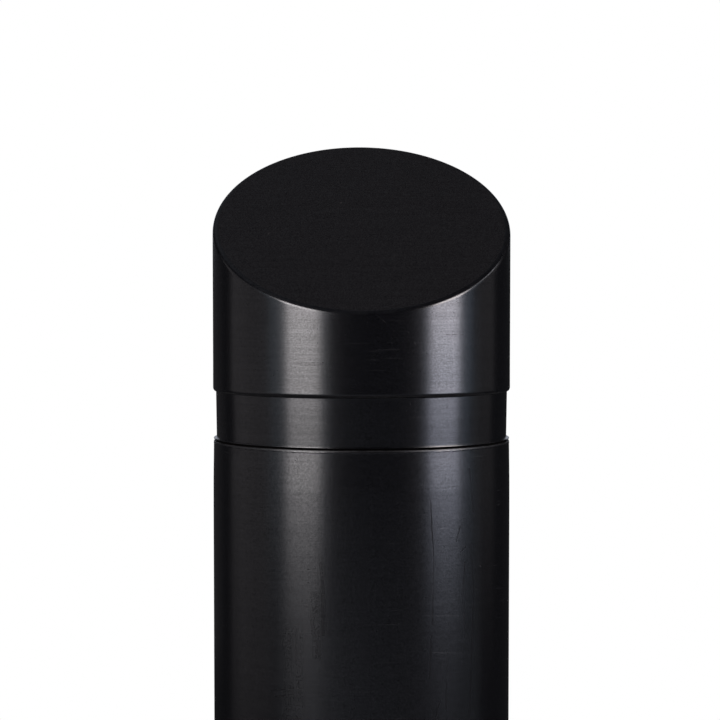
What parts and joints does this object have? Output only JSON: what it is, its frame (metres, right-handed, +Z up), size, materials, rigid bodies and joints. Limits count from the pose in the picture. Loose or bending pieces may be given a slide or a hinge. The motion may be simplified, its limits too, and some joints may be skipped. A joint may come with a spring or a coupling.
{
  "type": "bollard cover sleeve",
  "caption": "Slip-over plastic sleeve for a round bollard post, closed by a push-fit cap with a slanted flat top and a shallow recess for a reflective band.",
  "frame": {"origin": "centre of the tube's base, on the ground", "axes": "+Z up along the tube; the slanted face looks towards -Y; +X to the right of someone facing it"},
  "size_m": [0.24, 0.24, 1.0679],
  "materials": {
    "tube_plastic": "satin",
    "cap_plastic": "satin",
    "seal_rubber": "matte",
    "pad_foam": "matte"
  },
  "bodies": {
    "sleeve": {"sleeve_tube": "tube_plastic", "foam_pad_lower_front": "pad_foam", "foam_pad_lower_right": "pad_foam", "foam_pad_lower_back": "pad_foam", "foam_pad_lower_left": "pad_foam", "foam_pad_upper_front": "pad_foam", "foam_pad_upper_right": "pad_foam", "foam_pad_upper_back": "pad_foam", "foam_pad_upper_left": "pad_foam"},
    "seals": {"seal_ring_lower": "seal_rubber", "seal_ring_upper": "seal_rubber"},
    "cap": {"slant_cap": "cap_plastic"}
  },
  "joints": [
    {"name": "cap_lift", "type": "slide", "parent": "sleeve", "child": "seals", "axis": [0, 0, 1], "range_m": [0, 0.08]},
    {"name": "cap_turn", "type": "hinge", "parent": "seals", "child": "cap", "pos_m": [0, 0, 0.8], "axis": [0, 0, 1], "continuous": true}
  ]
}
